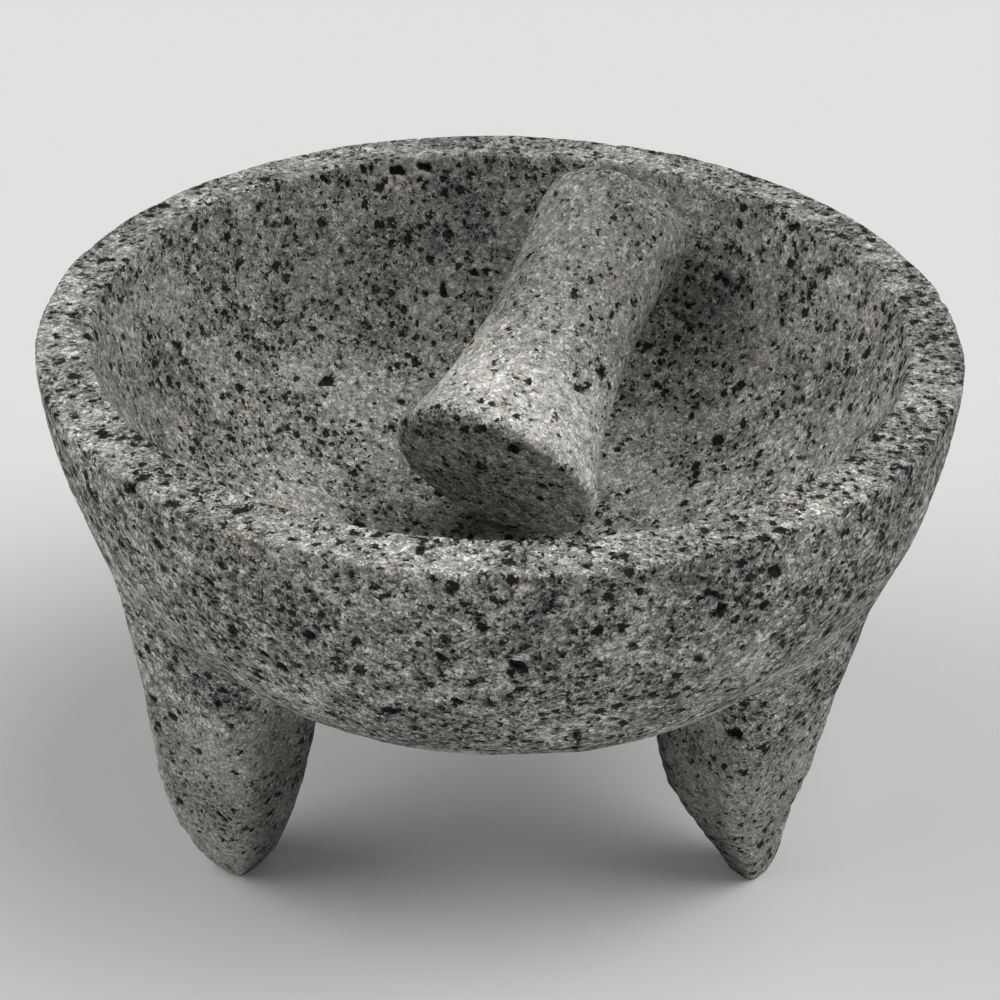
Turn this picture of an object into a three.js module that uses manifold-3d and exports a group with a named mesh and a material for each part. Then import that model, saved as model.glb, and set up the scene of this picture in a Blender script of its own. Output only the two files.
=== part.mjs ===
// Molcajete: a stone mortar on three legs, carved from one block of vesicular
// basalt, with its loose hand stone (the pestle) leaning in the bowl.
// Millimetres, +Z up. The origin is on the bowl's axis at floor level, and -Y
// is the front, midway between the two front legs.

import * as THREE from 'three';
import { mergeVertices } from 'three/addons/utils/BufferGeometryUtils.js';
import Module from 'manifold-3d';

// ---- driving dimensions -----------------------------------------------------
const HEIGHT = 160.5;          // floor to the top of the rim
const RIM_RADIUS = 126;        // outer radius of the rim
const MOUTH_RADIUS = 111;      // inner radius where the hollow meets the lip
const BOWL_DEPTH = 85;         // rim plane to the lowest point of the hollow
const BELLY_DROP = 108;        // rim plane to the lowest point of the belly
const BOWL_SEGMENTS = 80;      // facets round the bowl
const LEG_SEGMENTS = 20;       // facets round a leg
const LEG_POWER = 2.6;         // squareness of a leg's section (2 = round)
const PESTLE_LENGTH = 103.7;   // along the hand stone's own axis
const PESTLE_BASE_RADIUS = 31.9;
const PESTLE_WAIST_RADIUS = 22.2;
const PESTLE_TOP_RADIUS = 24.1;
const PESTLE_SEGMENTS = 40;

// Outer wall and belly: radius, height relative to the rim plane.
const OUTER = [
  [0, -BELLY_DROP], [30, -106.8], [55, -101.3], [75, -92.2], [88, -83.0],
  [99.5, -73.0], [108.3, -62.5], [115.2, -50.5], [120.8, -37], [124.4, -21],
  [RIM_RADIUS - 0.2, -8], [RIM_RADIUS, -3.2], [RIM_RADIUS - 1.4, 0], [0, 0],
];

// The hollow, run on above the rim so that it cuts the mouth open.
const HOLLOW = [
  [0, -BOWL_DEPTH], [20, -83.6], [38, -80.2], [60, -72], [80, -58], [94, -42],
  [103, -25], [108.5, -10], [MOUTH_RADIUS - 0.2, -2.6], [MOUTH_RADIUS + 1.4, 0],
  [MOUTH_RADIUS + 6, 12], [0, 12],
];

// Legs: heights of the lofted sections, then each leg's section centres and
// half widths at those heights. The lowest section is the flat worn foot.
const LEG_HEIGHTS = [0, 3, 7, 11, 15, 20, 26, 34, 45, 57, 70, 84, 98, 112, 126, 136];
const LEGS = [
  { // front left
    x: [-75, -75, -74.8, -74.8, -74.9, -75, -74.9, -74.3, -73.6, -73.2, -73.6, -74.8, -77, -80.5, -85, -88],
    y: [-47, -47, -47, -47, -47, -47, -46.8, -46.5, -46.5, -46.5, -47, -48, -49, -50, -51, -52],
    half: [4.8, 6.9, 9.2, 11.2, 13, 14.7, 16.4, 18, 19.4, 20.6, 21.3, 21.4, 20.6, 18.5, 15, 11],
    turn: -115,
  },
  { // front right
    x: [77.8, 77.6, 76.9, 75.9, 74.7, 73.3, 71.9, 70.9, 70.2, 70.2, 71.4, 73.6, 77, 81, 86, 89],
    y: [-46, -46, -46, -46, -46, -46, -46, -46, -46, -46, -47, -48, -49, -50, -51, -52],
    half: [4.2, 5.5, 7.1, 8.7, 10.4, 12.1, 14.4, 16.9, 19.2, 20.7, 21.6, 21.8, 21, 18.8, 15, 11],
    turn: -45,
  },
  { // back
    x: [0, 0, 0, 0, 0, 0, 0, 0, 0, 0, 0, 0, 0, 0, 0, 0],
    y: [89, 89, 88.5, 88, 87.7, 87.4, 87.2, 87, 86.8, 86.8, 87.8, 89.5, 92.5, 96, 100.5, 103],
    half: [4.5, 6.2, 8.2, 10.2, 12, 13.6, 15.6, 17.6, 19.4, 20.7, 21.5, 21.6, 20.8, 18.6, 15, 11],
    turn: 90,
  },
];

// Pestle: distance along its axis from the grinding face, radius.
const PESTLE = [
  [-2.6, 0], [-2.1, 12], [-1.1, 22], [0.3, PESTLE_BASE_RADIUS - 2.4],
  [1.8, PESTLE_BASE_RADIUS - 0.7], [4.2, PESTLE_BASE_RADIUS],
  [9, 30.1], [15.6, 27.8], [23, 26.0], [31.1, 24.6], [46.7, 22.7],
  [59, PESTLE_WAIST_RADIUS], [70, 22.3], [78, 22.8], [86, 23.7],
  [91.3, PESTLE_TOP_RADIUS], [96.5, 23.9], [99.6, 22.8], [102.2, 20.2],
  [103.4, 14], [PESTLE_LENGTH, 0],
];
const PESTLE_FOOT = new THREE.Vector3(-1.79, 3.08, HEIGHT - 56.31);   // centre of the grinding face
const PESTLE_AXIS = new THREE.Vector3(0.3747, 0.7939, 0.4790).normalize(); // towards its top end

// ---- solids -------------------------------------------------------------------
const wasm = await Module();
wasm.setup();

function toSolid(geometry) {
  const g = geometry.clone();
  for (const name of Object.keys(g.attributes)) if (name !== 'position') g.deleteAttribute(name);
  const m = mergeVertices(g, 1e-4);
  const index = [];
  const source = m.index.array;
  for (let i = 0; i < source.length; i += 3) {
    const [a, b, c] = [source[i], source[i + 1], source[i + 2]];
    if (a !== b && b !== c && c !== a) index.push(a, b, c);
  }
  const mesh = new wasm.Mesh({
    numProp: 3,
    vertProperties: new Float32Array(m.attributes.position.array),
    triVerts: new Uint32Array(index),
  });
  mesh.merge();
  return new wasm.Manifold(mesh);
}

function toGeometry(solid) {
  const mesh = solid.getMesh();
  const g = new THREE.BufferGeometry();
  g.setAttribute('position', new THREE.BufferAttribute(new Float32Array(mesh.vertProperties), 3));
  g.setIndex(new THREE.BufferAttribute(new Uint32Array(mesh.triVerts), 1));
  g.computeVertexNormals();
  return g;
}

// A lathe turned to stand along +Z.
function turned(profile, segments, lift) {
  const points = profile.map(([r, z]) => new THREE.Vector2(r, z + lift));
  return new THREE.LatheGeometry(points, segments).rotateX(Math.PI / 2);
}

// A leg: rounded-square sections lofted from the foot up into the wall.
function legGeometry({ x, y, half, turn }) {
  const angle = THREE.MathUtils.degToRad(turn);
  const ring = [];
  for (let i = 0; i < LEG_SEGMENTS; i++) {
    const t = (i / LEG_SEGMENTS) * Math.PI * 2;
    const k = (Math.abs(Math.cos(t)) ** LEG_POWER + Math.abs(Math.sin(t)) ** LEG_POWER) ** (-1 / LEG_POWER);
    ring.push([k * Math.cos(t + angle), k * Math.sin(t + angle)]);
  }
  const position = [];
  LEG_HEIGHTS.forEach((z, j) => {
    for (const [u, v] of ring) position.push(x[j] + u * half[j], y[j] + v * half[j], z);
  });
  const rows = LEG_HEIGHTS.length;
  const bottom = position.length / 3;
  position.push(x[0], y[0], LEG_HEIGHTS[0]);
  const top = bottom + 1;
  position.push(x[rows - 1], y[rows - 1], LEG_HEIGHTS[rows - 1]);
  const index = [];
  for (let j = 0; j + 1 < rows; j++) {
    for (let i = 0; i < LEG_SEGMENTS; i++) {
      const a = j * LEG_SEGMENTS + i;
      const b = j * LEG_SEGMENTS + (i + 1) % LEG_SEGMENTS;
      const c = a + LEG_SEGMENTS;
      const d = b + LEG_SEGMENTS;
      index.push(a, b, d, a, d, c);
    }
  }
  for (let i = 0; i < LEG_SEGMENTS; i++) {
    const k = (i + 1) % LEG_SEGMENTS;
    index.push(bottom, k, i);
    index.push(top, (rows - 1) * LEG_SEGMENTS + i, (rows - 1) * LEG_SEGMENTS + k);
  }
  const g = new THREE.BufferGeometry();
  g.setAttribute('position', new THREE.Float32BufferAttribute(position, 3));
  g.setIndex(index);
  return g;
}

// ---- mortar: wall and belly, three legs, then the hollow cut out -----------------
let mortarSolid = toSolid(turned(OUTER, BOWL_SEGMENTS, HEIGHT));
for (const leg of LEGS) mortarSolid = mortarSolid.add(toSolid(legGeometry(leg)));
mortarSolid = mortarSolid.subtract(toSolid(turned(HOLLOW, BOWL_SEGMENTS, HEIGHT)));

const mortar = new THREE.Mesh(
  toGeometry(mortarSolid),
  new THREE.MeshStandardMaterial({ color: 0x8a8884, roughness: 0.95, metalness: 0 }),
);
mortar.name = 'mortar';

// ---- pestle: a flared hand stone, leaning on the back wall of the hollow ----------
const pestle = new THREE.Mesh(
  toGeometry(toSolid(new THREE.LatheGeometry(
    PESTLE.map(([s, r]) => new THREE.Vector2(r, s)), PESTLE_SEGMENTS))),
  new THREE.MeshStandardMaterial({ color: 0x97948e, roughness: 0.93, metalness: 0 }),
);
pestle.name = 'pestle';
pestle.position.copy(PESTLE_FOOT);
pestle.quaternion.setFromUnitVectors(new THREE.Vector3(0, 1, 0), PESTLE_AXIS);

const molcajete = new THREE.Group();
molcajete.name = 'molcajete';
molcajete.add(mortar, pestle);

export default molcajete;
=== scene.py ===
import math

import bpy
import numpy as np
from mathutils import Euler, Matrix, Vector


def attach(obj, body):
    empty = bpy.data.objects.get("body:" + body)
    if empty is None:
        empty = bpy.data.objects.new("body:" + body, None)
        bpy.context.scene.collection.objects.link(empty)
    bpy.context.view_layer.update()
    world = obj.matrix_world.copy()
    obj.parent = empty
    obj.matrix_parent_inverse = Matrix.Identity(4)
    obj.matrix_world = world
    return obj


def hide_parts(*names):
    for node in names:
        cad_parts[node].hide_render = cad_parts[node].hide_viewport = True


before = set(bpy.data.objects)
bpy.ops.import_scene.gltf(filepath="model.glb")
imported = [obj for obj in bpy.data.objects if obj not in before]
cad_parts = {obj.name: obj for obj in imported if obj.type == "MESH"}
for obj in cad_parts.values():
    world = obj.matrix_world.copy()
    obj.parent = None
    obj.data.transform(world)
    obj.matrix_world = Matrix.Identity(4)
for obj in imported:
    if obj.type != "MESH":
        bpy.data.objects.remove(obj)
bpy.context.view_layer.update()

MM = 0.001

# ---------------------------------------------------------------------------
# The stone's shape, in millimetres: +Z up, floor at 0, bowl's axis at x = y = 0
# ---------------------------------------------------------------------------
HEIGHT = 160.5
OUTER = [(0, -108), (30, -106.8), (55, -101.3), (75, -92.2), (88, -83.0), (99.5, -73.0),
         (108.3, -62.5), (115.2, -50.5), (120.8, -37), (124.4, -21), (125.8, -8), (126.0, 0)]
HOLLOW = [(0, -85), (20, -83.6), (38, -80.2), (60, -72), (80, -58), (94, -42), (103, -25),
          (108.5, -10), (111, 0)]
LEG_H = [0, 3, 7, 11, 15, 20, 26, 34, 45, 57, 70, 84, 98, 112, 126, 136]
LEGS = [
    dict(x=[-75, -75, -74.8, -74.8, -74.9, -75, -74.9, -74.3, -73.6, -73.2, -73.6, -74.8, -77, -80.5, -85, -88],
         y=[-47, -47, -47, -47, -47, -47, -46.8, -46.5, -46.5, -46.5, -47, -48, -49, -50, -51, -52],
         a=[6.4, 8.3, 10.2, 11.8, 13.3, 14.8, 16.4, 18, 19.4, 20.6, 21.3, 21.4, 20.6, 18.5, 15, 11], turn=-125),
    dict(x=[77.8, 77.6, 76.9, 75.9, 74.7, 73.3, 71.9, 70.9, 70.2, 70.2, 71.4, 73.6, 77, 81, 86, 89],
         y=[-46, -46, -46, -46, -46, -46, -46, -46, -46, -46, -47, -48, -49, -50, -51, -52],
         a=[5.0, 6.4, 7.8, 9.2, 10.7, 12.1, 14.4, 16.9, 19.2, 20.7, 21.6, 21.8, 21, 18.8, 15, 11], turn=-45),
    dict(x=[0] * 16,
         y=[89, 89, 88.5, 88, 87.7, 87.4, 87.2, 87, 86.8, 86.8, 87.8, 89.5, 92.5, 96, 100.5, 103],
         a=[4.5, 6.2, 8.2, 10.2, 12, 13.6, 15.6, 17.6, 19.4, 20.7, 21.5, 21.6, 20.8, 18.6, 15, 11], turn=90),
]
# the largest pits, each by its middle, the way its long side runs, and its half-length and half-width
PITS = [((6, -124, 134), (-0.7, -0.1, 0.7), 4.4, 2.0), ((50, -115, 150), (-0.7, -0.4, 0.6), 4.4, 1.6),
        ((-24, -114, 112), (-0.8, 0.4, -0.4), 3.6, 1.5), ((-26, 108, 157), (-0.8, 0.2, 0.6), 3.8, 1.6),
        ((-34, 105, 156), (-0.9, -0.2, 0.3), 3.4, 1.6), ((-89, 69, 160), (-0.5, -0.8, 0), 3.6, 1.5),
        ((-19, 93, 120), (0.2, -0.5, -0.8), 2.5, 2.0), ((63, -107, 160), (0.5, -0.8, 0), 2.7, 1.3),
        ((67, -75, 86), (-0.3, -0.7, 0.6), 3.2, 1.5), ((24, -123, 144), (-0.1, 0.1, -1), 3.6, 1.5),
        ((-2, -126, 146), (-1, 0, 0), 2.4, 1.4), ((-54, 61, 103), (-0.8, -0.6, 0.1), 3.0, 1.8),
        ((-57, 95, 157), (-0.8, -0.1, 0.6), 3.0, 1.4), ((66, -70, 71), (-0.9, 0.3, -0.3), 2.6, 2.2),
        ((-63, -107, 160), (-0.7, -0.7, 0), 2.4, 1.3), ((-43, -116, 136), (0.4, 0, -0.9), 2.4, 1.8),
        ((-38, -117, 128), (0.2, 0.2, -1), 2.6, 1.4), ((-86, -91, 160), (-0.3, -0.8, -0.5), 2.2, 1.4),
        ((-84, -4, 106), (-0.6, -0.4, 0.6), 2.6, 1.4), ((53, -114, 145), (-0.9, -0.4, -0.1), 2.4, 1.3),
        ((-9, 97, 124), (-0.8, 0.2, 0.5), 2.4, 1.5), ((-67, 54, 109), (0.6, -0.2, -0.7), 2.5, 1.3),
        ((33, -122, 155), (-0.8, -0.2, 0.5), 2.2, 1.3), ((21, -110, 103), (-0.5, 0.4, -0.8), 2.2, 1.3),
        ((-8, -120, 120), (-0.9, -0.1, 0.5), 2.4, 1.2), ((88, 67, 157), (-0.6, 0.5, -0.5), 2.6, 1.4),
        ((-12, -124, 136), (-0.7, 0, 0.7), 2.6, 1.5)]
PESTLE_PITS = [((30.2, 21.3, 130.6), (-0.6, -0.5, 0.6), 3.2, 1.5), ((4.8, -12.9, 125.0), (-0.9, 0.2, 0.4), 2.2, 1.3)]
LEG_POWER = 4.5
PESTLE = [(-2.6, 0), (-2.1, 12), (-1.1, 22), (0.3, 29.5), (1.8, 31.2), (4.2, 31.9), (9, 30.1),
          (15.6, 27.8), (23, 26.0), (31.1, 24.6), (46.7, 22.7), (59, 22.2), (70, 22.3), (78, 22.8),
          (86, 23.7), (91.3, 24.1), (96.5, 23.9), (99.6, 22.8), (102.2, 20.2), (103.4, 14), (103.7, 0)]
PESTLE_FOOT = np.array([-1.79, 3.08, HEIGHT - 56.31])
PESTLE_AXIS = np.array([0.3747, 0.7939, 0.4790])
PESTLE_AXIS /= np.linalg.norm(PESTLE_AXIS)

STEP = 0.9       # mesh size of the mortar
PSTEP = 0.62     # mesh size of the pestle


def smin(a, b, k):
    h = np.clip(0.5 + 0.5 * (b - a) / k, 0, 1)
    return b + (a - b) * h - k * h * (1 - h)


def smax(a, b, k):
    return -smin(-a, -b, k)


def pchip(x, y, t):
    """Monotone cubic through the points, so that a profile keeps its bulges and no others."""
    x, y = np.asarray(x, float), np.asarray(y, float)
    h, d = np.diff(x), np.diff(y) / np.diff(x)
    m = np.zeros(len(x))
    for i in range(1, len(x) - 1):
        if d[i - 1] * d[i] > 0:
            w1, w2 = 2 * h[i] + h[i - 1], h[i] + 2 * h[i - 1]
            m[i] = (w1 + w2) / (w1 / d[i - 1] + w2 / d[i])
    m[0], m[-1] = d[0], d[-1]
    i = np.clip(np.searchsorted(x, t) - 1, 0, len(x) - 2)
    s = (t - x[i]) / h[i]
    return ((2 * s**3 - 3 * s**2 + 1) * y[i] + (s**3 - 2 * s**2 + s) * h[i] * m[i]
            + (-2 * s**3 + 3 * s**2) * y[i + 1] + (s**3 - s**2) * h[i] * m[i + 1])


class Turned:
    """Signed distance to a turned profile, as a table over radius and height."""

    def __init__(self, pts, r_max, z_lo, z_hi, extend=0.0, cell=0.5, n=220):
        pts = np.array(pts, float)
        run = np.r_[0, np.cumsum(np.hypot(*np.diff(pts, axis=0).T))]
        u = np.linspace(0, run[-1], n)
        c = np.stack([pchip(run, pts[:, 0], u), pchip(run, pts[:, 1], u)], 1)
        c[0, 0] = 0
        if extend:
            c = np.vstack([c, [c[-1, 0], c[-1, 1] + extend]])
        self.cell, self.z0 = cell, z_lo
        r, z = np.arange(0, r_max, cell), np.arange(z_lo, z_hi, cell)
        self.n = (len(r), len(z))
        R, Z = np.meshgrid(r, z, indexing="ij")
        P = np.stack([R.ravel(), Z.ravel()], 1)
        a, d = c[:-1], np.diff(c, axis=0)
        dd = (d * d).sum(1)
        best, where = np.empty(len(P)), np.empty(len(P))
        start = np.r_[0, np.cumsum(np.sqrt(dd))]
        for i in range(0, len(P), 8000):
            q = P[i:i + 8000, None] - a
            t = np.clip((q * d).sum(-1) / dd, 0, 1)
            q -= t[..., None] * d
            q = (q * q).sum(-1)
            j = q.argmin(1)
            row = np.arange(len(j))
            best[i:i + 8000] = q[row, j]
            where[i:i + 8000] = start[j] + t[row, j] * np.sqrt(dd[j])
        best = np.sqrt(best)
        poly = np.vstack([c, [[0, c[-1, 1]]], c[:1]]) if extend else np.vstack([c, c[:1]])
        inside = np.zeros(len(P), bool)
        for (x0, y0), (x1, y1) in zip(poly[:-1], poly[1:]):
            if y0 == y1:
                continue
            cross = (P[:, 1] >= min(y0, y1)) & (P[:, 1] < max(y0, y1))
            inside ^= cross & (P[:, 0] < x0 + (P[:, 1] - y0) * (x1 - x0) / (y1 - y0))
        self.t = np.where(inside, -best, best).reshape(R.shape)
        self.s = where.reshape(R.shape)

    def arc(self, r, z):
        """How far along the profile the nearest place on it is."""
        return self(r, z, self.s)

    def __call__(self, r, z, t=None):
        i = np.clip(r / self.cell, 0, self.n[0] - 1.001)
        j = np.clip((z - self.z0) / self.cell, 0, self.n[1] - 1.001)
        i0, j0 = i.astype(np.int32), j.astype(np.int32)
        fi, fj = i - i0, j - j0
        t = self.t if t is None else t
        return ((t[i0, j0] * (1 - fi) + t[i0 + 1, j0] * fi) * (1 - fj)
                + (t[i0, j0 + 1] * (1 - fi) + t[i0 + 1, j0 + 1] * fi) * fj)


# ---- repeatable noise ------------------------------------------------------
DOMAIN_LO, DOMAIN_HI = np.array([-170.0, -170.0, -50.0]), np.array([170.0, 170.0, 215.0])
_lattices = {}


def lattice(size, seed, channels=1):
    """Random numbers on a grid of the given pitch that covers the part."""
    key = (size, seed, channels)
    if key not in _lattices:
        n = np.ceil((DOMAIN_HI - DOMAIN_LO) / size).astype(int) + 3
        _lattices[key] = np.random.default_rng(seed).random((*n, channels), dtype=np.float32)
    return _lattices[key]


def noise(P, size, seed):
    """Smooth value noise from -1 to 1 with features of about size mm."""
    T = lattice(size, seed)[..., 0]
    q = (np.clip(P, DOMAIN_LO, DOMAIN_HI) - DOMAIN_LO) / size
    i = q.astype(np.int32)
    f = (q - i).astype(np.float32)
    f = f * f * f * (f * (f * 6 - 15) + 10)
    ny, nz = T.shape[1], T.shape[2]
    flat = T.reshape(-1)
    k = (i[:, 0] * ny + i[:, 1]) * nz + i[:, 2]
    fx, fy, fz = f[:, 0], f[:, 1], f[:, 2]

    def edge(o):
        return flat[k + o] * (1 - fz) + flat[k + o + 1] * fz
    a = edge(0) * (1 - fy) + edge(nz) * fy
    b = edge(ny * nz) * (1 - fy) + edge(ny * nz + nz) * fy
    return (a * (1 - fx) + b * fx) * 2.0 - 1.0


def fractal(P, size, seed, octaves=3):
    total, amp, norm = 0, 1.0, 0
    for k in range(octaves):
        total = total + amp * noise(P, size / 2**k, seed + 1000 * k)
        norm += amp
        amp *= 0.5
    return total / norm


def warped(P, size, amount, seed):
    return P + amount * np.stack([noise(P, size, seed + k) for k in range(3)], 1)


def pits(P, cell, r_lo, r_hi, chance, seed, squash=0.35, power=2.2):
    """For each point, how deep it lies in the nearest scattered pore: 1 at a pore's middle, 0 at its lip,
    negative outside; and that pore's radius."""
    R = lattice(cell, seed, 8)
    n = R.shape[:3]
    C = np.stack(np.meshgrid(*[np.arange(k) for k in n], indexing="ij"), -1)
    centre = ((C + R[..., :3]) * cell + DOMAIN_LO).reshape(-1, 3)
    R = R.reshape(-1, 8)
    r = r_lo + (r_hi - r_lo) * R[:, 3] ** power
    ax = R[:, 4:7] - 0.5
    ax /= np.linalg.norm(ax, axis=1, keepdims=True) + 1e-9
    on = R[:, 7] < (chance(centre) if callable(chance) else chance)
    table = np.concatenate([centre, ax, r[:, None], on[:, None]], 1).astype(np.float32)
    base = np.floor((P - DOMAIN_LO) / cell).astype(np.int32)
    P = P.astype(np.float32)
    best = np.full(len(P), -9.0, np.float32)
    rad = np.zeros(len(P), np.float32)
    for dx in (-1, 0, 1):
        for dy in (-1, 0, 1):
            for dz in (-1, 0, 1):
                k = ((base[:, 0] + dx) * n[1] + base[:, 1] + dy) * n[2] + base[:, 2] + dz
                m = np.flatnonzero(on[k])
                t = table[k[m]]
                d = P[m] - t[:, :3]
                along = (d * t[:, 3:6]).sum(1, keepdims=True)
                d -= t[:, 3:6] * along * squash
                inside = 1 - np.sqrt((d * d).sum(1)) / t[:, 6]
                better = inside > best[m]
                m, inside, rr = m[better], inside[better], t[better, 6]
                best[m], rad[m] = inside, rr
    return best, rad


def listed_pits(P, pits_list, shift=None):
    """Like pits, for pits that are given one by one."""
    best, rad = np.full(len(P), -9.0), np.zeros(len(P))
    for c, axis, long, wide in pits_list:
        c, axis = np.array(c, float), np.array(axis, float)
        if shift is not None:
            c, axis = shift(c), shift(c + axis) - shift(c)
        axis /= np.linalg.norm(axis)
        m = np.flatnonzero(np.abs(P - c).max(1) < long + 3.5)
        d = P[m] - c
        along = d @ axis
        across = d - along[:, None] * axis
        inside = 1 - np.sqrt((along / long) ** 2 + (across * across).sum(1) / wide**2)
        better = inside > best[m]
        best[m[better]], rad[m[better]] = inside[better], wide
    return best, rad


# ---- a mesh of quads on the zero level of a function -------------------------
def level_mesh(f, lo, hi, g, block=8):
    lo = np.asarray(lo, float)
    nb = np.ceil((np.asarray(hi, float) - lo) / (g * block)).astype(int)
    size = nb * block + 1
    S = np.empty(size, np.float32)
    bi = np.stack(np.meshgrid(*[np.arange(n) for n in nb], indexing="ij"), -1).reshape(-1, 3)
    centre = lo + (bi + 0.5) * block * g
    fc = f(centre)
    near = np.abs(fc) < block * g * 0.87 * 1.35 + 1.0
    for (i, j, k), v in zip(bi[~near] * block, fc[~near]):
        S[i:i + block + 1, j:j + block + 1, k:k + block + 1] = v
    off = np.stack(np.meshgrid(*[np.arange(block + 1)] * 3, indexing="ij"), -1).reshape(-1, 3)
    todo = bi[near] * block
    for s in range(0, len(todo), 700):
        part = todo[s:s + 700]
        P = lo + (part[:, None] + off[None]).reshape(-1, 3) * g
        v = f(P).reshape(len(part), block + 1, block + 1, block + 1)
        for (i, j, k), w in zip(part, v):
            S[i:i + block + 1, j:j + block + 1, k:k + block + 1] = w
    neg = S < 0
    n = neg.astype(np.uint8)
    count = (n[:-1, :-1, :-1] + n[1:, :-1, :-1] + n[:-1, 1:, :-1] + n[:-1, :-1, 1:]
             + n[1:, 1:, :-1] + n[1:, :-1, 1:] + n[:-1, 1:, 1:] + n[1:, 1:, 1:])
    idx = np.argwhere((count > 0) & (count < 8))
    vid = np.full(count.shape, -1, np.int32)
    vid[idx[:, 0], idx[:, 1], idx[:, 2]] = np.arange(len(idx))
    corner = np.array([[x, y, z] for x in (0, 1) for y in (0, 1) for z in (0, 1)])
    V = np.stack([S[idx[:, 0] + c[0], idx[:, 1] + c[1], idx[:, 2] + c[2]] for c in corner], 1).astype(float)
    acc, cnt = np.zeros((len(idx), 3)), np.zeros(len(idx))
    for a in range(8):
        for b in range(a + 1, 8):
            if np.abs(corner[a] - corner[b]).sum() != 1:
                continue
            m = (V[:, a] < 0) != (V[:, b] < 0)
            t = V[m, a] / (V[m, a] - V[m, b])
            acc[m] += corner[a] + t[:, None] * (corner[b] - corner[a])
            cnt[m] += 1
    verts = lo + (idx + acc / cnt[:, None]) * g
    quads = []
    for ax in range(3):
        u, w = (ax + 1) % 3, (ax + 2) % 3
        sl = [slice(None)] * 3
        sh = [slice(None)] * 3
        sl[ax], sh[ax] = slice(0, -1), slice(1, None)
        e = neg[tuple(sl)] != neg[tuple(sh)]
        I = np.argwhere(e)
        I = I[(I[:, u] > 0) & (I[:, w] > 0) & (I[:, u] < S.shape[u] - 1) & (I[:, w] < S.shape[w] - 1)]
        eu, ew = np.eye(3, dtype=int)[u], np.eye(3, dtype=int)[w]
        c = [I - eu - ew, I - ew, I, I - eu]
        q = np.stack([vid[k[:, 0], k[:, 1], k[:, 2]] for k in c], 1)
        flip = ~neg[I[:, 0], I[:, 1], I[:, 2]]
        q[flip] = q[flip][:, ::-1]
        quads.append(q)
    quads = np.vstack(quads)
    assert quads.min() >= 0
    return verts, quads


def gradient(f, P, e=0.4):
    k = np.array([[1, -1, -1], [-1, -1, 1], [-1, 1, -1], [1, 1, 1]], float)
    g = sum(k[i] * f(P + e * k[i])[:, None] for i in range(4))
    n = np.linalg.norm(g, axis=1, keepdims=True) + 1e-12
    return g / n, n[:, 0] / (4 * e)


def settle(f, P, rounds=2):
    for _ in range(rounds):
        n, s = gradient(f, P)
        P = P - n * np.clip(f(P) / np.maximum(s, 0.3), -0.6, 0.6)[:, None]
    return P, gradient(f, P)[0]


def smoothed(values, quads, rounds):
    """Averages a per-vertex value over the quads' edges."""
    e = np.vstack([quads[:, [0, 1]], quads[:, [1, 2]], quads[:, [2, 3]], quads[:, [3, 0]]])
    deg = np.bincount(e.ravel(), minlength=len(values)).astype(float)
    for _ in range(rounds):
        s = (np.bincount(e[:, 0], weights=values[e[:, 1]], minlength=len(values))
             + np.bincount(e[:, 1], weights=values[e[:, 0]], minlength=len(values)))
        values = 0.5 * values + 0.5 * s / deg
    return values


def wrap(a):
    return (a + math.pi) % (2 * math.pi) - math.pi


def polar(rho, az, x, y):
    return np.stack([x + rho * np.cos(az), y + rho * np.sin(az)], -1)


# ---- the mortar ------------------------------------------------------------------
wall = Turned([(r, z + HEIGHT) for r, z in OUTER], 150, -12, 190, extend=60)
hollow = Turned([(r, z + HEIGHT) for r, z in HOLLOW], 150, -12, 190, extend=60)


def leg_distance(P, L):
    out = np.full(len(P), 60.0)
    near = (P[:, 2] < 150) & (np.abs(P[:, 0] - L["x"][8]) < 62) & (np.abs(P[:, 1] - L["y"][8]) < 62)
    Q = P[near]
    h = Q[:, 2]
    cx, cy, a = np.interp(h, LEG_H, L["x"]), np.interp(h, LEG_H, L["y"]), np.interp(h, LEG_H, L["a"])
    t = math.radians(L["turn"])
    dx, dy = Q[:, 0] - cx, Q[:, 1] - cy
    u, v = dx * math.cos(t) + dy * math.sin(t), -dx * math.sin(t) + dy * math.cos(t)
    q = ((np.abs(u) / a) ** LEG_POWER + (np.abs(v) / a) ** LEG_POWER) ** (1 / LEG_POWER)
    s = (q - 0.955) * a * 0.93
    out[near] = np.maximum(np.maximum(s, -h - 2), h - LEG_H[-1])
    return out


def hand(P):
    """The slow unevenness that hand dressing leaves: a few tenths of a millimetre over finger-sized areas."""
    return 0.42 * noise(P, 34.0, 11) + 0.26 * noise(P, 15.0, 12)


def mortar_distance(P):
    az = np.arctan2(P[:, 1], P[:, 0])
    r = np.hypot(P[:, 0], P[:, 1])
    z = P[:, 2]
    ro = r * (1 + 0.003 * np.cos(2 * az)) - np.cos(az) * np.clip((HEIGHT - z) / 40, 0, 1) * np.clip((z - 40) / 30, 0, 1)
    low = hand(P)
    o = wall(np.maximum(ro, 0), z) + low
    legs = leg_distance(P, LEGS[0])
    for L in LEGS[1:]:
        legs = np.minimum(legs, leg_distance(P, L))
    b = smin(o, legs + low, 6.0)
    # the rim plane wavers a little, stands slightly higher at the front, and its two edges are worn round
    front = np.clip((-np.sin(az) - 0.05) / 0.75, 0, 1)
    lip = z - HEIGHT + 0.15 - 1.15 * front * front * (3 - 2 * front) + 0.32 * noise(P * np.array([1, 1, 0.0]), 24.0, 5)
    b = smax(b, lip, 1.0)
    b = smax(b, -(hollow(r, z) + 0.5 * low - 0.25), 1.3)
    return np.maximum(b, -z)


def leg_angle(P, L):
    return np.arctan2(P[..., 1] - np.interp(P[..., 2], LEG_H, L["y"]), P[..., 0] - np.interp(P[..., 2], LEG_H, L["x"]))


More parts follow.
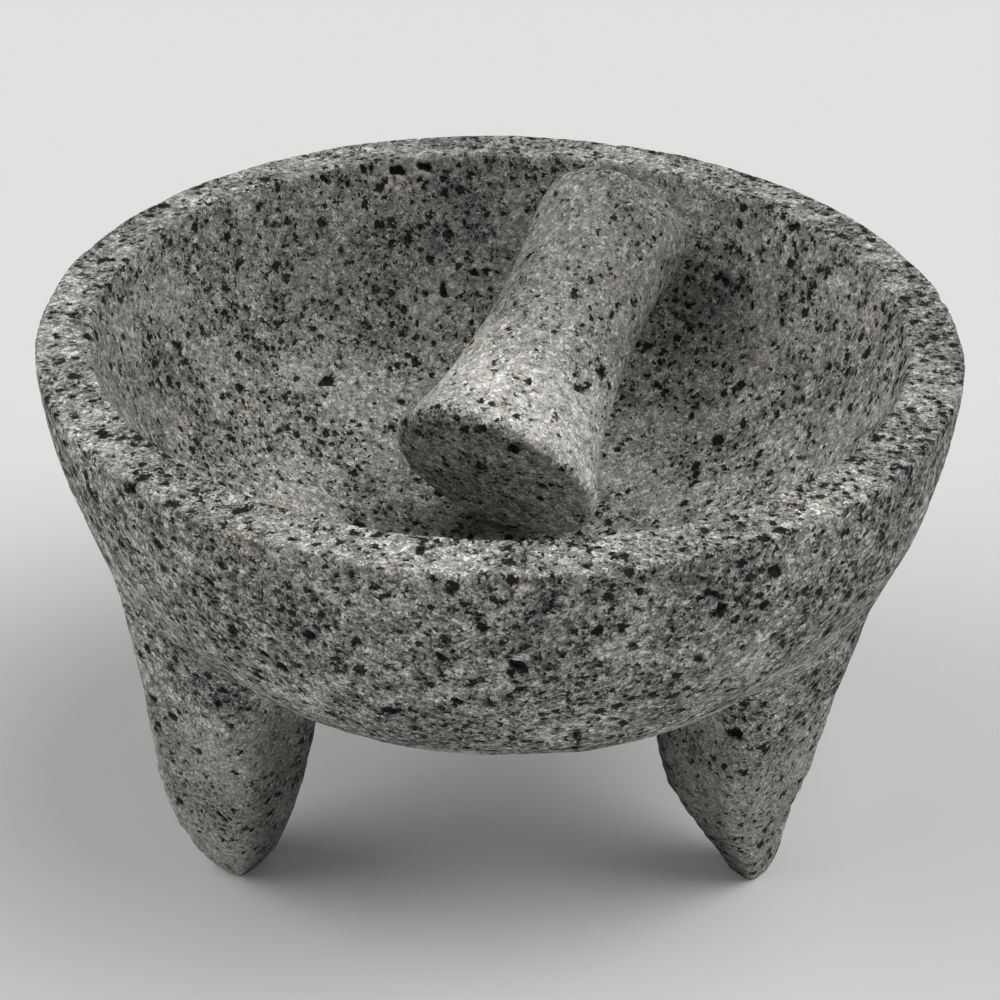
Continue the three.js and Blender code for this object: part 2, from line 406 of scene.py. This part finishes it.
def mortar_uv(v, n, quads):
    """Each face's corners on a flat layout in mm: the hollow and rim as a disc, the belly as a disc, the wall as
    two strips, each leg as a strip and each foot as a patch."""
    V = v[quads]
    c = V.mean(1)
    nz = n[quads, 2].mean(1)
    r, az = np.hypot(V[..., 0], V[..., 1]), np.arctan2(V[..., 1], V[..., 0])
    cr, caz = np.hypot(c[:, 0], c[:, 1]), np.arctan2(c[:, 1], c[:, 0])
    o = wall(cr, c[:, 2])
    legs = np.stack([leg_distance(c, L) for L in LEGS])
    side = wall.arc(cr, c[:, 2])
    cup = (np.abs(hollow(cr, c[:, 2])) < np.abs(o)) | ((c[:, 2] > HEIGHT - 3.0) & (nz > 0.6))
    leg = ~cup & (legs.min(0) < o) & (c[:, 2] < 100)
    which = legs.argmin(0)
    foot = leg & (c[:, 2] < 0.6) & (nz < -0.6)
    uv = np.zeros(V.shape[:2] + (2,))
    m = cup
    uv[m] = polar(hollow.arc(r[m], V[m][..., 2]) + np.clip(r[m] - 111, 0, None), az[m], 173, 173)
    m = ~cup & ~leg & (side < 100)
    uv[m] = polar(wall.arc(r[m], V[m][..., 2]), -az[m], 452, 104)
    for k in range(2):
        m = ~cup & ~leg & (side >= 100) & ((caz < 0) == (k == 0))
        a = caz[m][:, None] + wrap(az[m] - caz[m][:, None]) + (math.pi if k == 0 else 0)
        uv[m] = np.stack([3 + a * 122.5, 349 + 98 * k + wall.arc(r[m], V[m][..., 2]) - 100], -1)
    for k, L in enumerate(LEGS):
        x, y = ((350, 211), (396, 350), (396, 456))[k]
        m = leg & ~foot & (which == k)
        ca = leg_angle(c[m], L)[:, None]
        a = ca + wrap(leg_angle(V[m], L) - ca) + math.pi
        uv[m] = np.stack([x + a * 20, y + V[m][..., 2]], -1)
        m = foot & (which == k)
        uv[m] = (V[m][..., :2] - (L["x"][0], L["y"][0])) * (-1, 1) + (500, 225 + 22 * k)
    return (uv / 562.0).reshape(-1, 2)


def build_mortar():
    v, q = level_mesh(mortar_distance, (-131, -131, -2.5), (131, 131, 164), STEP)
    v, n = settle(mortar_distance, v)
    az = np.arctan2(v[:, 1], v[:, 0])
    r = np.hypot(v[:, 0], v[:, 1])
    # how worn a place is: the rim's top and its edges
    top = smoothed(np.clip((n[:, 2] - 0.55) / 0.3, 0, 1) * (v[:, 2] > HEIGHT - 5) * (r > 108), q, 2)
    inner = ((n[:, 2] > 0.05) & (r < 112) & (v[:, 2] > 60)).astype(float)
    foot = np.clip(1 - v[:, 2] / 2.0, 0, 1)
    # relief: dressing marks, then pores, deepest on faces nobody has rubbed
    column = np.clip((70 - v[:, 2]) / 24, 0, 1)
    relief = (0.17 + 0.10 * column) * fractal(v, 6.0, 21, 2) + (0.13 + 0.16 * column) * noise(v, 2.4, 31)
    vw = warped(warped(v, 3.2, 0.75, 41), 1.5, 0.38, 45)
    big, rb = pits(vw, 12.5, 1.25, 3.0, lambda c: 0.03 + 0.42 * np.clip(0.45 + 0.9 * fractal(c, 34.0, 55, 2), 0, 1), 61, 0.5, 2.6)
    mid, rm = pits(vw, 4.4, 0.70, 1.45, lambda c: 0.12 + 0.46 * np.clip(0.5 + 0.9 * fractal(c, 20.0, 56, 2), 0, 1), 71, 0.45, 1.8)
    own, ro = listed_pits(v, PITS)
    own = own + 0.50 * noise(v, 2.4, 91) + 0.34 * noise(v, 1.3, 92)
    # chips along the rim's two edges
    edge = np.clip(1 - np.abs(v[:, 2] - (HEIGHT - 1.6)) / 4.0, 0, 1) * (n[:, 2] < 0.94)
    chip, rc = pits(vw, 8.0, 1.4, 3.6, 0.45, 81, 0.5)
    chip = np.clip(chip, 0, 1) * edge
    calm = 1 - 0.5 * top
    depth = (np.clip(big, 0, 1) ** 0.62 * rb * 0.80 * calm + np.clip(mid, 0, 1) ** 0.7 * rm * 0.80 * calm
             + chip * 1.3 + np.clip(own, 0, 1) ** 0.6 * ro * 1.15)
    keep = 1 - 0.92 * foot
    z = v[:, 2].copy()
    v = v + n * (relief * keep * (1 - 0.35 * top))[:, None] - n * (depth * keep)[:, None]
    v[:, 2] = np.where(foot > 0, np.maximum(v[:, 2], 0), np.maximum(v[:, 2], 0.02))
    v[:, 2] = np.where((z < 0.25) & (n[:, 2] < -0.9), 0.0, v[:, 2])
    pore = np.maximum(np.maximum(big * rb, mid * rm), own * ro)     # millimetres inside a pore's lip
    pore = np.clip(pore, -2, 2)
    # how pale the stone is: rubbed on the rim and where it grinds; besides that, painted light and shade: the rim's top
    # paler towards the front, the hollow brighter towards +x, the legs' inward faces darker
    ground = smoothed(inner * np.clip((HEIGHT - 38 - z) / 34, 0, 1), q, 6)
    leg = np.clip((80 - z) / 20, 0, 1)
    # painted shade: the legs' faces that look inward, under the bowl, are darkened, the right leg's more
    inward = np.clip(0.6 - 1.6 * (n[:, 0] * np.cos(az) + n[:, 1] * np.sin(az)), 0, 1)
    # painted light: the rim's top is paler towards the front
    facing = np.clip(0.5 - v[:, 1] / 180, 0, 1)
    # painted light: the hollow is brighter towards +x
    tone = (1 + (0.25 + 0.26 * facing) * np.clip(top, 0, 1) + 0.82 * ground
            + inner * (1 - np.clip(top, 0, 1)) * (0.22 * np.clip(v[:, 0] / 90, 0, 1) + 0.06)
            + leg * (0.12 - np.where(v[:, 0] > 30, 0.80, 0.58) * inward)) * 1.04
    # darker under the pestle's foot: it stands in for the contact shadow in the photo
    tone *= 1 - 0.62 * np.exp(-((v[:, 0] + 9) / 17) ** 2 - ((v[:, 1] - 19) / 9) ** 2) * (v[:, 2] > 70)
    rough = 1 - smoothed(inner, q, 4) - 0.4 * np.clip(top, 0, 1) - 0.7 * leg
    return v, q, dict(pore=pore, tone=tone, rough=np.clip(rough, 0, 1), calm=leg), mortar_uv(v, n, q)


# ---- the pestle --------------------------------------------------------------------
stone = Turned([(r, s) for s, r in PESTLE], 48, -14, 118, cell=0.25, n=320)
PX = np.cross(PESTLE_AXIS, [0, 0, 1.0]); PX /= np.linalg.norm(PX)
PY = np.cross(PX, PESTLE_AXIS) * -1.0
PB = np.stack([PX, np.cross(PESTLE_AXIS, PX), PESTLE_AXIS])   # rows: the pestle's own axes


def pestle_distance(Q):
    """Q in the pestle's own axes: the third runs from the grinding face to the top."""
    az = np.arctan2(Q[:, 1], Q[:, 0])
    r = np.hypot(Q[:, 0], Q[:, 1])
    return stone(r * (1 + 0.010 * np.cos(2 * az + 0.6)), Q[:, 2]) + 0.30 * noise(Q, 21.0, 111) + 0.15 * noise(Q, 9.0, 112) + 0.3


def pestle_uv(v, n, quads):
    V = v[quads]
    c = V.mean(1)
    nz = n[quads, 2].mean(1)
    r, az = np.hypot(V[..., 0], V[..., 1]), np.arctan2(V[..., 1], V[..., 0])
    caz = np.arctan2(c[:, 1], c[:, 0])
    s = stone.arc(r, V[..., 2])
    end = float(stone.arc(np.zeros(1), np.full(1, PESTLE[-1][0]))[0])
    low = (c[:, 2] < 5) & (nz < -0.6)
    high = (c[:, 2] > 96) & (nz > 0.6)
    uv = np.zeros(V.shape[:2] + (2,))
    uv[low] = polar(s[low], -az[low], 40, 147)
    uv[high] = polar(end - s[high], az[high], 112, 140)
    m = ~low & ~high
    a = caz[m][:, None] + wrap(az[m] - caz[m][:, None]) + math.pi
    uv[m] = np.stack([3 + a * 27.5, s[m] - 26], -1)
    return (uv / 186.0).reshape(-1, 2)


def build_pestle():
    v, q = level_mesh(pestle_distance, (-36, -36, -6), (36, 36, 108), PSTEP)
    v, n = settle(pestle_distance, v)
    relief = 0.11 * fractal(v, 4.0, 121, 2) + 0.07 * noise(v, 1.6, 131)
    vw = warped(warped(v, 2.6, 0.55, 141), 1.3, 0.30, 145)
    big, rb = pits(vw, 11.0, 1.0, 2.2, lambda c: 0.03 + 0.26 * np.clip(0.45 + 0.9 * fractal(c, 24.0, 155, 2), 0, 1), 161, 0.5, 2.4)
    mid, rm = pits(vw, 4.2, 0.60, 1.25, lambda c: 0.08 + 0.34 * np.clip(0.5 + 0.9 * fractal(c, 18.0, 156, 2), 0, 1), 171, 0.45, 1.8)
    own, ro = listed_pits(v, PESTLE_PITS, lambda c: PB @ (c - PESTLE_FOOT))
    own = own + 0.50 * noise(v, 2.2, 191) + 0.34 * noise(v, 1.1, 192)
    depth = np.clip(big, 0, 1) ** 0.65 * rb * 0.7 + np.clip(mid, 0, 1) ** 0.7 * rm * 0.75 + np.clip(own, 0, 1) ** 0.6 * ro
    v = v + n * relief[:, None] - n * depth[:, None]
    uv = pestle_uv(v, n, q)
    pore = np.clip(np.maximum(np.maximum(big * rb, mid * rm), own * ro), -2, 2)
    # pores crowd on the upper left of the grinding face, as in the photo
    side = PB @ np.array([-0.62, -0.33, 0.71])
    crowded = np.clip(0.5 + (v @ side) / 18, 0, 1)
    # the grinding end is paler round its flare, partly rubbed and partly painted light; the face itself is rough and
    # painted darker, a painted shade
    pale = np.interp(v[:, 2], [0, 6, 22, 45, 70, 104], [2.20, 2.46, 2.26, 1.40, 1.13, 1.05])
    face = np.clip((3.6 - v[:, 2]) / 3.4, 0, 1)
    w = v @ PB + PESTLE_FOOT
    return w, q, dict(pore=pore, tone=pale * (1 - 0.45 * face), rough=1.3 * face, calm=-4.2 * face * crowded), uv


def make_object(name, v, quads, attributes, uv):
    me = bpy.data.meshes.new(name)
    me.vertices.add(len(v))
    me.vertices.foreach_set("co", (v * MM).astype(np.float32).ravel())
    me.loops.add(len(quads) * 4)
    me.loops.foreach_set("vertex_index", quads.astype(np.int32).ravel())
    me.polygons.add(len(quads))
    me.polygons.foreach_set("loop_start", np.arange(0, len(quads) * 4, 4, dtype=np.int32))
    me.polygons.foreach_set("use_smooth", np.ones(len(quads), bool))
    me.update(calc_edges=True)
    for key, values in attributes.items():
        a = me.attributes.new(key, "FLOAT", "POINT")
        a.data.foreach_set("value", np.asarray(values, np.float32))
    me.uv_layers.new(name="OFBake").data.foreach_set("uv", uv.astype(np.float32).ravel())
    me.validate()
    ob = bpy.data.objects.new(name, me)
    bpy.context.scene.collection.objects.link(ob)
    return ob


# ---------------------------------------------------------------------------
# The stone's material
# ---------------------------------------------------------------------------
class Nodes:
    """Short names for building a node tree."""

    def __init__(self, material):
        material.use_nodes = True
        self.t = material.node_tree
        self.t.nodes.clear()

    def add(self, kind, **values):
        n = self.t.nodes.new(kind)
        inputs = values.pop("inputs", {})
        for k, v in values.items():
            setattr(n, k, v)
        for k, v in inputs.items():
            self.put(n.inputs[k], v)
        return n

    def put(self, socket, v):
        if isinstance(v, bpy.types.NodeSocket):
            self.t.links.new(v, socket)
        else:
            socket.default_value = v

    def math(self, op, a, b=None, c=None, clamp=False):
        n = self.add("ShaderNodeMath", operation=op, use_clamp=clamp)
        for i, v in enumerate((a, b, c)):
            if v is not None:
                self.put(n.inputs[i], v)
        return n.outputs[0]

    def ramp(self, v, lo, hi, to_lo=0.0, to_hi=1.0, smooth=True):
        n = self.add("ShaderNodeMapRange", clamp=True, interpolation_type="SMOOTHSTEP" if smooth else "LINEAR")
        for k, w in zip(("Value", "From Min", "From Max", "To Min", "To Max"), (v, lo, hi, to_lo, to_hi)):
            self.put(n.inputs[k], w)
        return n.outputs[0]

    def mix(self, fac, a, b, blend="MIX"):
        n = self.add("ShaderNodeMix", data_type="RGBA", blend_type=blend)
        self.put(n.inputs[0], fac)
        self.put(n.inputs[6], a)
        self.put(n.inputs[7], b)
        return n.outputs[2]

    def noise(self, vector, size, detail=2.0, rough=0.5, out="Fac"):
        n = self.add("ShaderNodeTexNoise", inputs={"Vector": vector, "Scale": 1000.0 / size, "Detail": detail, "Roughness": rough})
        return n.outputs[out]

    def attribute(self, name):
        return self.add("ShaderNodeAttribute", attribute_type="GEOMETRY", attribute_name=name).outputs["Fac"]

    def pores(self, vector, cell, r_lo, r_hi, chance, soft):
        """Scattered pores: 1 inside, 0 outside, with a soft lip. Sizes in mm."""
        n = self.add("ShaderNodeTexVoronoi", voronoi_dimensions="3D", feature="F1",
                     inputs={"Vector": vector, "Scale": 1000.0 / cell, "Randomness": 1.0})
        s = self.add("ShaderNodeSeparateColor", inputs={"Color": n.outputs["Color"]})
        bias = self.math("POWER", s.outputs[0], 1.8)
        r = self.math("MULTIPLY_ADD", bias, (r_hi - r_lo) / cell, r_lo / cell)
        on = self.math("LESS_THAN", s.outputs[1], chance)
        gap = self.math("SUBTRACT", self.math("MULTIPLY", r, on), n.outputs["Distance"])
        return self.ramp(gap, -0.5 * soft / cell, 0.5 * soft / cell)


def srgb(r, g, b):
    def lin(c):
        c /= 255.0
        return c / 12.92 if c <= 0.04045 else ((c + 0.055) / 1.055) ** 2.4
    return (lin(r), lin(g), lin(b), 1.0)


def basalt(name, crowding=1.0, coarse=1.0, warm=1.0, contrast=1.0):
    m = bpy.data.materials.new(name)
    k = Nodes(m)
    out = k.add("ShaderNodeOutputMaterial")
    bsdf = k.add("ShaderNodeBsdfPrincipled")
    k.t.links.new(bsdf.outputs[0], out.inputs[0])
    obj = k.add("ShaderNodeTexCoord").outputs["Object"]

    # ragged outlines come from shaking the coordinates
    shake = k.add("ShaderNodeTexNoise", inputs={"Vector": obj, "Scale": 1000.0 / 1.3, "Detail": 2.0, "Roughness": 0.6})
    sub = k.add("ShaderNodeVectorMath", operation="SUBTRACT", inputs={0: shake.outputs["Color"], 1: (0.5, 0.5, 0.5)})
    mul = k.add("ShaderNodeVectorMath", operation="SCALE", inputs={0: sub.outputs[0], "Scale": 0.0036})
    ragged = k.add("ShaderNodeVectorMath", operation="ADD", inputs={0: obj, 1: mul.outputs[0]}).outputs[0]

    # pores of four sizes, crowded together in some places and sparse in others
    rough = k.attribute("rough")
    crowding_up = k.attribute("calm")        # below 0 it asks for more of the larger pores
    calm = k.math("MAXIMUM", crowding_up, 0.0)
    crowd = k.math("MULTIPLY_ADD", k.noise(obj, 9.0, 3.0, 0.6), 0.5, k.math("MULTIPLY", k.noise(obj, 28.0, 2.0, 0.5), 0.5))
    crowd = k.ramp(crowd, 0.39, 0.61, 0.10 * crowding, 1.45 * crowding)
    crowd = k.math("MULTIPLY", crowd, k.math("MULTIPLY_ADD", calm, -0.28, k.math("MULTIPLY_ADD", rough, 0.42, 1.0)))
    bigger = k.math("MULTIPLY", k.math("MULTIPLY", crowd, k.math("MULTIPLY_ADD", crowding_up, -0.45, 1.0)), k.math("MULTIPLY_ADD", rough, -0.30 * coarse, 1.30 * coarse))
    large = k.pores(ragged, 4.4, 0.85, 1.80, k.math("MULTIPLY", bigger, 0.50), 0.48)
    middle = k.pores(ragged, 2.7, 0.52, 1.14, k.math("MULTIPLY", bigger, 0.78), 0.36)
    small = k.pores(ragged, 1.5, 0.30, 0.62, k.math("MULTIPLY", crowd, 0.70), 0.28)
    speck = k.pores(ragged, 0.95, 0.17, 0.34, k.math("MULTIPLY", crowd, 0.62), 0.22)
    # the deep pores that are in the mesh, their lips made ragged
    edge = k.math("MULTIPLY_ADD", k.noise(obj, 1.2, 3.0, 0.65), 1.5, -0.80)
    deep = k.ramp(k.math("ADD", k.attribute("pore"), edge), -0.05, 0.45)
    pore = k.math("MAXIMUM", k.math("MAXIMUM", large, middle), deep)

    # crystals and grains
    grain = k.add("ShaderNodeTexVoronoi", voronoi_dimensions="3D", feature="F1",
                  inputs={"Vector": ragged, "Scale": 1000.0 / 0.85, "Randomness": 1.0})
    g = k.add("ShaderNodeSeparateColor", inputs={"Color": grain.outputs["Color"]})
    fine = k.noise(obj, 0.75, 3.0, 0.65)
    soft = k.noise(obj, 2.6, 3.0, 0.6)
    tone = k.math("MULTIPLY_ADD", k.math("SUBTRACT", fine, 0.5), 1.35, 0.5)
    tone = k.math("ADD", tone, k.math("MULTIPLY", k.math("SUBTRACT", g.outputs[0], 0.5), 0.36))
    tone = k.math("ADD", tone, k.math("MULTIPLY", k.math("SUBTRACT", soft, 0.5), k.math("MULTIPLY_ADD", calm, -0.9, 1.5)))
    tone = k.math("MULTIPLY_ADD", k.math("SUBTRACT", tone, 0.5), k.math("MULTIPLY_ADD", rough, 0.30 * contrast, 0.95 * contrast), 0.5)
    body = k.add("ShaderNodeValToRGB")
    cr = body.color_ramp
    cr.elements[0].position, cr.elements[0].color = 0.0, srgb(76, 75, 73)
    cr.elements[1].position, cr.elements[1].color = 1.0, srgb(228, 226, 220)
    for p, c in ((0.25, srgb(112, 111, 108)), (0.50, srgb(142, 141, 137)), (0.75, srgb(174, 172, 167))):
        e = cr.elements.new(p)
        e.color = c
    k.put(body.inputs[0], tone)
    colour = body.outputs[0]
    # pale crystals
    crystal = k.math("GREATER_THAN", g.outputs[1], k.math("MULTIPLY_ADD", rough, -0.05, 0.94))
    colour = k.mix(k.math("MULTIPLY", crystal, k.math("MULTIPLY_ADD", calm, -0.35, 0.55)), colour, srgb(232, 230, 225))
    # duller where pores crowd
    dull = k.ramp(crowd, 0.3, 1.6, 1.06, 0.80)
    dulled = k.add("ShaderNodeVectorMath", operation="SCALE", inputs={0: colour, "Scale": dull})
    colour = dulled.outputs[0]
    # slow drifts of tone and warmth
    drift = k.noise(obj, 38.0, 3.0, 0.55)
    colour = k.mix(k.math("MULTIPLY_ADD", calm, -0.6, 1.0), colour, k.mix(k.ramp(drift, 0.3, 0.7), (0.86, 0.86, 0.87, 1), (1.10, 1.095, 1.075, 1)), "MULTIPLY")
    rust = k.ramp(k.noise(obj, 12.0, 3.0, 0.65), 0.60, 0.76, 0.0, 0.42 * warm)
    colour = k.mix(rust, colour, k.mix(1.0, colour, (1.16, 1.0, 0.76, 1), "MULTIPLY"))
    # rubbed places are paler; the same factor also carries painted light and shade: the rim's front, the hollow towards
    # +x, the legs' inward faces, the patch under the pestle's foot, the pestle's flare and its face
    shade = k.add("ShaderNodeVectorMath", operation="SCALE", inputs={0: colour, "Scale": k.attribute("tone")})
    colour = shade.outputs[0]
    # inside the pores: painted near black, a painted shade in the holes
    hole = k.mix(k.ramp(k.noise(obj, 1.0, 2.0), 0.35, 0.7), srgb(4, 4, 4), srgb(44, 43, 42))
    depth = k.math("MAXIMUM", k.math("MULTIPLY", pore, 0.96), k.math("MAXIMUM", k.math("MULTIPLY", small, 0.88), k.math("MULTIPLY", speck, k.math("MULTIPLY_ADD", calm, 0.14, 0.68))))
    colour = k.mix(depth, colour, hole)
    k.put(bsdf.inputs["Base Color"], colour)

    k.put(bsdf.inputs["Roughness"], k.ramp(fine, 0.3, 0.75, 0.98, 0.78))
    bsdf.inputs["Specular IOR Level"].default_value = 0.08

    height = k.math("MULTIPLY", k.math("MAXIMUM", large, middle), -0.80)
    height = k.math("ADD", height, k.math("MULTIPLY", deep, -0.25))
    height = k.math("ADD", height, k.math("MULTIPLY", small, -0.40))
    height = k.math("ADD", height, k.math("MULTIPLY", fine, k.math("MULTIPLY_ADD", calm, 0.35, 0.55)))
    height = k.math("ADD", height, k.math("MULTIPLY", soft, 0.60))
    height = k.math("ADD", height, k.math("MULTIPLY", g.outputs[0], 0.12))
    bump = k.add("ShaderNodeBump", inputs={"Strength": 0.8, "Distance": 0.0009, "Height": height})
    k.put(bsdf.inputs["Normal"], bump.outputs[0])
    return m


# ---------------------------------------------------------------------------
# Pieces
# ---------------------------------------------------------------------------
mortar = make_object("mortar_stone", *build_mortar())
mortar.data.materials.append(basalt("basalt_mortar"))
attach(mortar, "mortar")
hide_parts("mortar")

pestle = make_object("pestle_stone", *build_pestle())
pestle.data.materials.append(basalt("basalt_pestle", 0.75, 0.43, 0.8, 0.82))
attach(pestle, "pestle")
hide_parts("pestle")

# ---------------------------------------------------------------------------
# Floor, light and camera
# ---------------------------------------------------------------------------
floor_mesh = bpy.data.meshes.new("floor")
s = 6.0
floor_mesh.from_pydata([(-s, -s, 0), (s, -s, 0), (s, s, 0), (-s, s, 0)], [], [(0, 1, 2, 3)])
floor = bpy.data.objects.new("floor", floor_mesh)
bpy.context.scene.collection.objects.link(floor)
fm = bpy.data.materials.new("floor_paper")
fm.use_nodes = True
fb = fm.node_tree.nodes["Principled BSDF"]
fb.inputs["Base Color"].default_value = (0.84, 0.84, 0.83, 1)
fb.inputs["Roughness"].default_value = 0.9
fb.inputs["Specular IOR Level"].default_value = 0.1
floor_mesh.materials.append(fm)

world = bpy.data.worlds.new("studio")
bpy.context.scene.world = world
world.use_nodes = True
bg = world.node_tree.nodes["Background"]
bg.inputs["Color"].default_value = (1.0, 1.0, 1.0, 1)
# a pale sweep at the horizon, dim above, so that the lamps shape the stone
way = world.node_tree.nodes.new("ShaderNodeTexCoord")
part = world.node_tree.nodes.new("ShaderNodeSeparateXYZ")
fade = world.node_tree.nodes.new("ShaderNodeMapRange")
fade.interpolation_type = "SMOOTHSTEP"
for socket, value in (("From Min", math.sin(math.radians(6))), ("From Max", math.sin(math.radians(24))), ("To Min", 0.70), ("To Max", 0.08)):
    fade.inputs[socket].default_value = value
world.node_tree.links.new(way.outputs["Generated"], part.inputs[0])
world.node_tree.links.new(part.outputs[2], fade.inputs["Value"])
world.node_tree.links.new(fade.outputs[0], bg.inputs["Strength"])


def softbox(name, elevation, azimuth, strength, width=45):
    """A broad lamp far away: elevation and azimuth in degrees, from +X towards +Y."""
    d = bpy.data.lights.new(name, "SUN")
    d.energy, d.angle = strength * math.pi, math.radians(width)
    o = bpy.data.objects.new(name, d)
    e, a = math.radians(elevation), math.radians(azimuth)
    way = Vector((math.cos(e) * math.cos(a), math.cos(e) * math.sin(a), math.sin(e)))
    o.rotation_euler = (-way).to_track_quat("-Z", "Y").to_euler()
    bpy.context.scene.collection.objects.link(o)


softbox("above_right", 65, 0, 0.35)
softbox("above_left", 65, 180, 0.10)
softbox("right", 40, 0, 0.26)
softbox("left", 31, 180, 0.39, 52)

cam_data = bpy.data.cameras.new("camera")
cam_data.sensor_width = 36.0
cam_data.lens = 1990.9 / 1000 * 36.0
cam = bpy.data.objects.new("camera", cam_data)
bpy.context.scene.collection.objects.link(cam)
pitch, roll = math.radians(33.13), math.radians(1.214)
aim = Matrix.Rotation(math.pi / 2 - pitch, 4, "X") @ Matrix.Rotation(roll, 4, "Z")
cam.matrix_world = Matrix.Translation((0.91 * MM, -487.1 * MM, (HEIGHT + 256.8) * MM)) @ aim
cam_data.clip_start, cam_data.clip_end = 0.01, 50
bpy.context.scene.camera = cam

view = bpy.context.scene.view_settings
view.view_transform = "Standard"
view.look = "None"
view.exposure = 0.0
view.gamma = 1.0
